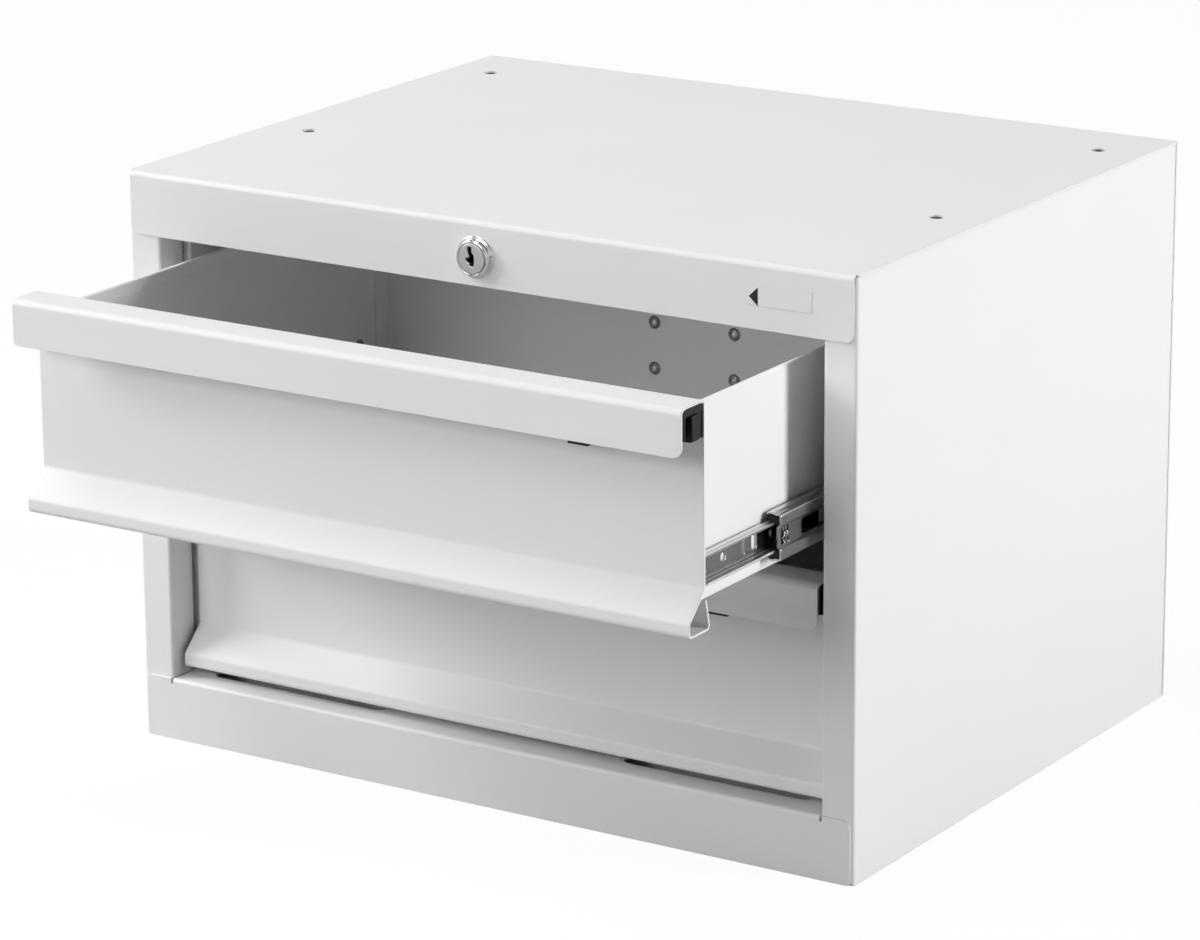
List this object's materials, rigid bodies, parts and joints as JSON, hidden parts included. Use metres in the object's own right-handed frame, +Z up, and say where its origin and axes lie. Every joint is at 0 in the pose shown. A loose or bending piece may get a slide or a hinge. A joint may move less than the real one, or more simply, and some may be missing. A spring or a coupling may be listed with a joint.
{
  "type": "van drawer cabinet",
  "caption": "Low white sheet-steel drawer cabinet for a van, with stacked hooded-front drawers on ball-bearing slides, a cam-driven lock bar and finger latches.",
  "frame": {"origin": "centre of the cabinet footprint, on the floor", "axes": "+X to the right seen from the front, +Y to the back, +Z up"},
  "size_m": [0.4572, 0.4847, 0.3239],
  "materials": {
    "cabinet_paint": "smooth satin white powder coat",
    "drawer_paint": "smooth satin white powder coat on the drawers",
    "slide_zinc": "bright zinc-plated slide steel",
    "cage_steel": "plain steel cages and balls, lightly greased",
    "rivet_steel": "plain steel rivets",
    "lock_chrome": "bright chromed lock face",
    "lock_steel": "zinc-plated pressed steel",
    "black_plastic": "black moulded nylon"
  },
  "bodies": {
    "cabinet": {"upper_right_outer_slide": "slide_zinc", "upper_left_outer_slide": "slide_zinc", "lower_right_outer_slide": "slide_zinc", "lower_left_outer_slide": "slide_zinc", "left_side_panel": "cabinet_paint", "right_side_panel": "cabinet_paint", "back_panel": "cabinet_paint", "bottom_panel": "cabinet_paint", "top_panel": "cabinet_paint", "toe_rail": "cabinet_paint", "front_left_slide_post": "cabinet_paint", "front_right_slide_post": "cabinet_paint", "rear_left_slide_post": "cabinet_paint", "rear_right_slide_post": "cabinet_paint", "post_slide_rivets": "rivet_steel", "lock_housing": "lock_chrome", "lock_nut": "lock_steel", "rod_bracket": "lock_steel", "lock_bar_guides": "lock_steel"},
    "upper_drawer": {"upper_tray": "drawer_paint", "upper_tray_back": "drawer_paint", "upper_front": "drawer_paint", "upper_right_inner_slide": "slide_zinc", "upper_left_inner_slide": "slide_zinc", "upper_catch_bracket": "lock_steel", "upper_drawer_rivets": "rivet_steel", "upper_latch_end_cap": "black_plastic", "upper_latch_guides": "lock_steel", "upper_click_spring": "lock_steel"},
    "lower_drawer": {"lower_tray": "drawer_paint", "lower_tray_back": "drawer_paint", "lower_front": "drawer_paint", "lower_right_inner_slide": "slide_zinc", "lower_left_inner_slide": "slide_zinc", "lower_catch_bracket": "lock_steel", "lower_drawer_rivets": "rivet_steel", "lower_latch_end_cap": "black_plastic", "lower_latch_guides": "lock_steel", "lower_click_spring": "lock_steel"},
    "upper_latch": {"upper_latch_bar": "black_plastic", "upper_latch_tab": "black_plastic"},
    "lower_latch": {"lower_latch_bar": "black_plastic", "lower_latch_tab": "black_plastic"},
    "lock_plug": {"lock_plug": "lock_chrome", "lock_plug_clip": "lock_steel", "lock_rod": "lock_steel", "lock_crank": "lock_steel"},
    "lock_bar": {"lock_bar": "lock_steel"},
    "upper_middle_slides": {"upper_right_middle_slide": "slide_zinc", "upper_left_middle_slide": "slide_zinc", "upper_middle_bumpers": "black_plastic"},
    "upper_outer_cages": {"upper_outer_ball_cages": "cage_steel"},
    "upper_inner_cages": {"upper_inner_ball_cages": "cage_steel"},
    "lower_middle_slides": {"lower_right_middle_slide": "slide_zinc", "lower_left_middle_slide": "slide_zinc", "lower_middle_bumpers": "black_plastic"},
    "lower_outer_cages": {"lower_outer_ball_cages": "cage_steel"},
    "lower_inner_cages": {"lower_inner_ball_cages": "cage_steel"}
  },
  "joints": [
    {"name": "upper_drawer_slide", "type": "slide", "parent": "cabinet", "child": "upper_drawer", "axis": [0, -1, 0], "range_m": [-0.1305, 0.1595]},
    {"name": "upper_middle_slides_run", "type": "slide", "parent": "cabinet", "child": "upper_middle_slides", "axis": [0, -1, 0], "range_m": [-0.06526, 0.07976]},
    {"name": "upper_outer_cages_run", "type": "slide", "parent": "cabinet", "child": "upper_outer_cages", "axis": [0, -1, 0], "range_m": [-0.03264, 0.03989]},
    {"name": "upper_inner_cages_run", "type": "slide", "parent": "cabinet", "child": "upper_inner_cages", "axis": [0, -1, 0], "range_m": [-0.09788, 0.11964]},
    {"name": "upper_latch_slide", "type": "slide", "parent": "upper_drawer", "child": "upper_latch", "axis": [1, 0, 0], "range_m": [0, 0.005]},
    {"name": "lower_drawer_slide", "type": "slide", "parent": "cabinet", "child": "lower_drawer", "axis": [0, -1, 0], "range_m": [0, 0.29]},
    {"name": "lower_middle_slides_run", "type": "slide", "parent": "cabinet", "child": "lower_middle_slides", "axis": [0, -1, 0], "range_m": [0, 0.14501]},
    {"name": "lower_outer_cages_run", "type": "slide", "parent": "cabinet", "child": "lower_outer_cages", "axis": [0, -1, 0], "range_m": [0, 0.07251]},
    {"name": "lower_inner_cages_run", "type": "slide", "parent": "cabinet", "child": "lower_inner_cages", "axis": [0, -1, 0], "range_m": [0, 0.21751]},
    {"name": "lower_latch_slide", "type": "slide", "parent": "lower_drawer", "child": "lower_latch", "axis": [1, 0, 0], "range_m": [0, 0.005]},
    {"name": "lock_bar_lift", "type": "slide", "parent": "cabinet", "child": "lock_bar", "axis": [0, 0, 1], "range_m": [-0.01696, 0]},
    {"name": "lock_plug_turn", "type": "hinge", "parent": "cabinet", "child": "lock_plug", "pos_m": [0, -0.16, 0.30435], "axis": [0, 1, 0], "range_deg": [0, 90]}
  ],
  "couplings": [
    {"joint": "upper_middle_slides_run", "follows": "upper_drawer_slide", "ratio": 0.5},
    {"joint": "upper_outer_cages_run", "follows": "upper_drawer_slide", "ratio": 0.25},
    {"joint": "upper_inner_cages_run", "follows": "upper_drawer_slide", "ratio": 0.75},
    {"joint": "lower_middle_slides_run", "follows": "lower_drawer_slide", "ratio": 0.5},
    {"joint": "lower_outer_cages_run", "follows": "lower_drawer_slide", "ratio": 0.25},
    {"joint": "lower_inner_cages_run", "follows": "lower_drawer_slide", "ratio": 0.75},
    {"joint": "lock_plug_turn", "follows": "lock_bar_lift", "rad_per_m": -92.6}
  ]
}
